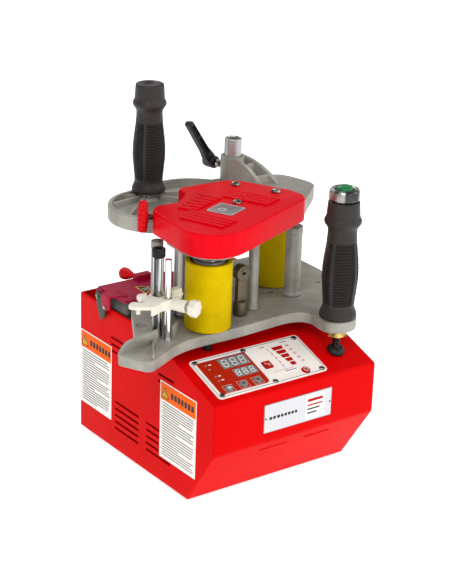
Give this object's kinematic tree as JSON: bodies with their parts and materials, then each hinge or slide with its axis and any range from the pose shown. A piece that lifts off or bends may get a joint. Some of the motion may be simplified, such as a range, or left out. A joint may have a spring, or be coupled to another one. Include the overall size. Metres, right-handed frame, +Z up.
{
  "type": "edge banding machine",
  "caption": "Portable edge banding machine: yellow pressure rollers and a glue roller between a cast plate and head, on a red drive box with two upright grips.",
  "frame": {"origin": "middle of the bounding box's bottom, on the surface that the rubber feet stand on", "axes": "+X along the front of the machine, +Y from its front to its back, +Z up"},
  "size_m": [0.3096, 0.2536, 0.3762],
  "materials": {
    "red_paint": "gloss enamel",
    "cover_red": "semi-gloss enamel",
    "red_plastic": "moulded",
    "crimson": "semi-gloss enamel",
    "cast_aluminium": "sand cast, blasted",
    "steel": "turned",
    "chrome": "polished",
    "yellow_rubber": "ground",
    "black_rubber": "moulded, ribbed",
    "black_steel": "blackened",
    "white_plastic": "moulded",
    "panel_white": "printed film",
    "display_red": "tinted window",
    "green": "gloss",
    "brass": "turned",
    "bronze": "cast",
    "brushed_aluminium": "brushed",
    "circuit_green": "solder mask"
  },
  "bodies": {
    "frame": {"housing_shell": "red_paint", "bottom_cover": "steel", "foot_front_left": "black_rubber", "foot_front_right": "black_rubber", "foot_rear_left": "black_rubber", "foot_rear_right": "black_rubber", "drive_motor": "steel", "control_transformer": "black_steel", "circuit_board": "circuit_green", "cable_gland": "black_rubber", "panel_plate": "panel_white", "display_window": "display_red", "name_plate": "brushed_aluminium", "base_plate": "cast_aluminium", "post_right": "cast_aluminium", "post_middle": "cast_aluminium", "post_left": "cast_aluminium", "head_casting": "cast_aluminium", "top_cover": "cover_red", "cover_screw_1": "steel", "cover_screw_2": "steel", "cover_screw_3": "steel", "right_grip": "black_rubber", "left_grip": "black_rubber", "left_grip_spacer": "cast_aluminium", "switch_bezel": "chrome", "lock_nut": "brass", "support_foot": "black_steel", "guide_rod_front": "chrome", "guide_rod_rear": "chrome", "rod_cap_screw": "black_steel", "glue_pot": "cast_aluminium", "heater_block": "bronze", "hinge_ear": "black_steel"},
    "front_roller": {"front_roller_core": "steel", "front_roller_sleeve": "yellow_rubber", "front_roller_gear": "steel"},
    "rear_roller": {"rear_roller_core": "steel", "rear_roller_sleeve": "yellow_rubber"},
    "glue_roller": {"glue_roller": "steel", "glue_roller_gear": "steel"},
    "motor_pinion": {"motor_pinion": "steel"},
    "start_button": {"start_button": "green"},
    "set_button": {"set_button": "brushed_aluminium"},
    "down_button": {"down_button": "brushed_aluminium"},
    "up_button": {"up_button": "brushed_aluminium"},
    "mode_button": {"mode_button": "display_red"},
    "stop_button": {"stop_button": "display_red"},
    "height_slider": {"height_slider": "white_plastic"},
    "slider_knob_front": {"slider_knob_front": "white_plastic"},
    "slider_knob_rear": {"slider_knob_rear": "white_plastic"},
    "pressure_knob": {"pressure_knob": "red_plastic"},
    "clamp_lever": {"clamp_lever": "black_rubber", "clamp_lever_screw": "steel"},
    "column_tube": {"column_tube": "steel"},
    "pot_lid": {"pot_lid": "crimson", "lid_knob": "red_plastic"},
    "cutter_bar": {"cutter_bar": "bronze"}
  },
  "joints": [
    {"name": "front_roller_spin", "type": "hinge", "parent": "frame", "child": "front_roller", "pos_m": [-0.0418, -0.0517, 0.204], "axis": [0, 0, 1], "continuous": true},
    {"name": "glue_roller_spin", "type": "hinge", "parent": "frame", "child": "glue_roller", "pos_m": [-0.04419, -0.01578, 0.204], "axis": [0, 0, 1], "continuous": true},
    {"name": "motor_pinion_spin", "type": "hinge", "parent": "frame", "child": "motor_pinion", "pos_m": [-0.01009, -0.04016, 0.124], "axis": [0, 0, 1], "continuous": true},
    {"name": "rear_roller_spin", "type": "hinge", "parent": "frame", "child": "rear_roller", "pos_m": [0.0872, 0.013, 0.204], "axis": [0, 0, 1], "continuous": true},
    {"name": "start_button_press", "type": "slide", "parent": "frame", "child": "start_button", "axis": [0, 0, 1], "range_m": [-0.0025, 0], "stiffness_N_per_m": 300, "springref_m": 0.0005},
    {"name": "set_button_press", "type": "slide", "parent": "frame", "child": "set_button", "axis": [0, -0.319, 0.9478], "range_m": [-0.0008, 0], "stiffness_N_per_m": 400, "springref_m": 0.0003},
    {"name": "down_button_press", "type": "slide", "parent": "frame", "child": "down_button", "axis": [0, -0.319, 0.9478], "range_m": [-0.0008, 0], "stiffness_N_per_m": 400, "springref_m": 0.0003},
    {"name": "up_button_press", "type": "slide", "parent": "frame", "child": "up_button", "axis": [0, -0.319, 0.9478], "range_m": [-0.0008, 0], "stiffness_N_per_m": 400, "springref_m": 0.0003},
    {"name": "mode_button_press", "type": "slide", "parent": "frame", "child": "mode_button", "axis": [0, -0.319, 0.9478], "range_m": [-0.0008, 0], "stiffness_N_per_m": 400, "springref_m": 0.0003},
    {"name": "stop_button_press", "type": "slide", "parent": "frame", "child": "stop_button", "axis": [0, -0.319, 0.9478], "range_m": [-0.0008, 0], "stiffness_N_per_m": 400, "springref_m": 0.0003},
    {"name": "height_slide", "type": "slide", "parent": "frame", "child": "height_slider", "axis": [0, 0, 1], "range_m": [-0.018, 0.0265]},
    {"name": "slider_knob_front_turn", "type": "hinge", "parent": "height_slider", "child": "slider_knob_front", "pos_m": [-0.08421, -0.07712, 0.2075], "axis": [0.45, -0.893, 0], "range_deg": [-180, 180]},
    {"name": "slider_knob_rear_turn", "type": "hinge", "parent": "height_slider", "child": "slider_knob_rear", "pos_m": [-0.0862, -0.0456, 0.2095], "axis": [1, 0, 0], "range_deg": [-180, 180]},
    {"name": "pressure_knob_turn", "type": "hinge", "parent": "frame", "child": "pressure_knob", "pos_m": [-0.0773, 0.0201, 0.2685], "axis": [0.803, -0.596, 0], "range_deg": [-180, 180]},
    {"name": "clamp_lever_turn", "type": "hinge", "parent": "frame", "child": "clamp_lever", "pos_m": [0.0858, 0.0877, 0.2758], "axis": [-0.2588, 0.9659, 0], "range_deg": [-60, 60]},
    {"name": "column_slide", "type": "slide", "parent": "frame", "child": "column_tube", "axis": [0, 0, 1], "range_m": [-0.015, 0.05]},
    {"name": "pot_lid_hinge", "type": "hinge", "parent": "frame", "child": "pot_lid", "pos_m": [-0.0854, 0.0767, 0.168], "axis": [1, 0, 0], "range_deg": [-75, 0]},
    {"name": "cutter_bar_swing", "type": "hinge", "parent": "frame", "child": "cutter_bar", "pos_m": [0.0026, -0.0448, 0.174], "axis": [0, 0, 1], "range_deg": [-12, 20]}
  ],
  "couplings": [
    {"joint": "glue_roller_spin", "follows": "front_roller_spin", "ratio": -1.6667},
    {"joint": "motor_pinion_spin", "follows": "front_roller_spin", "ratio": -2}
  ]
}
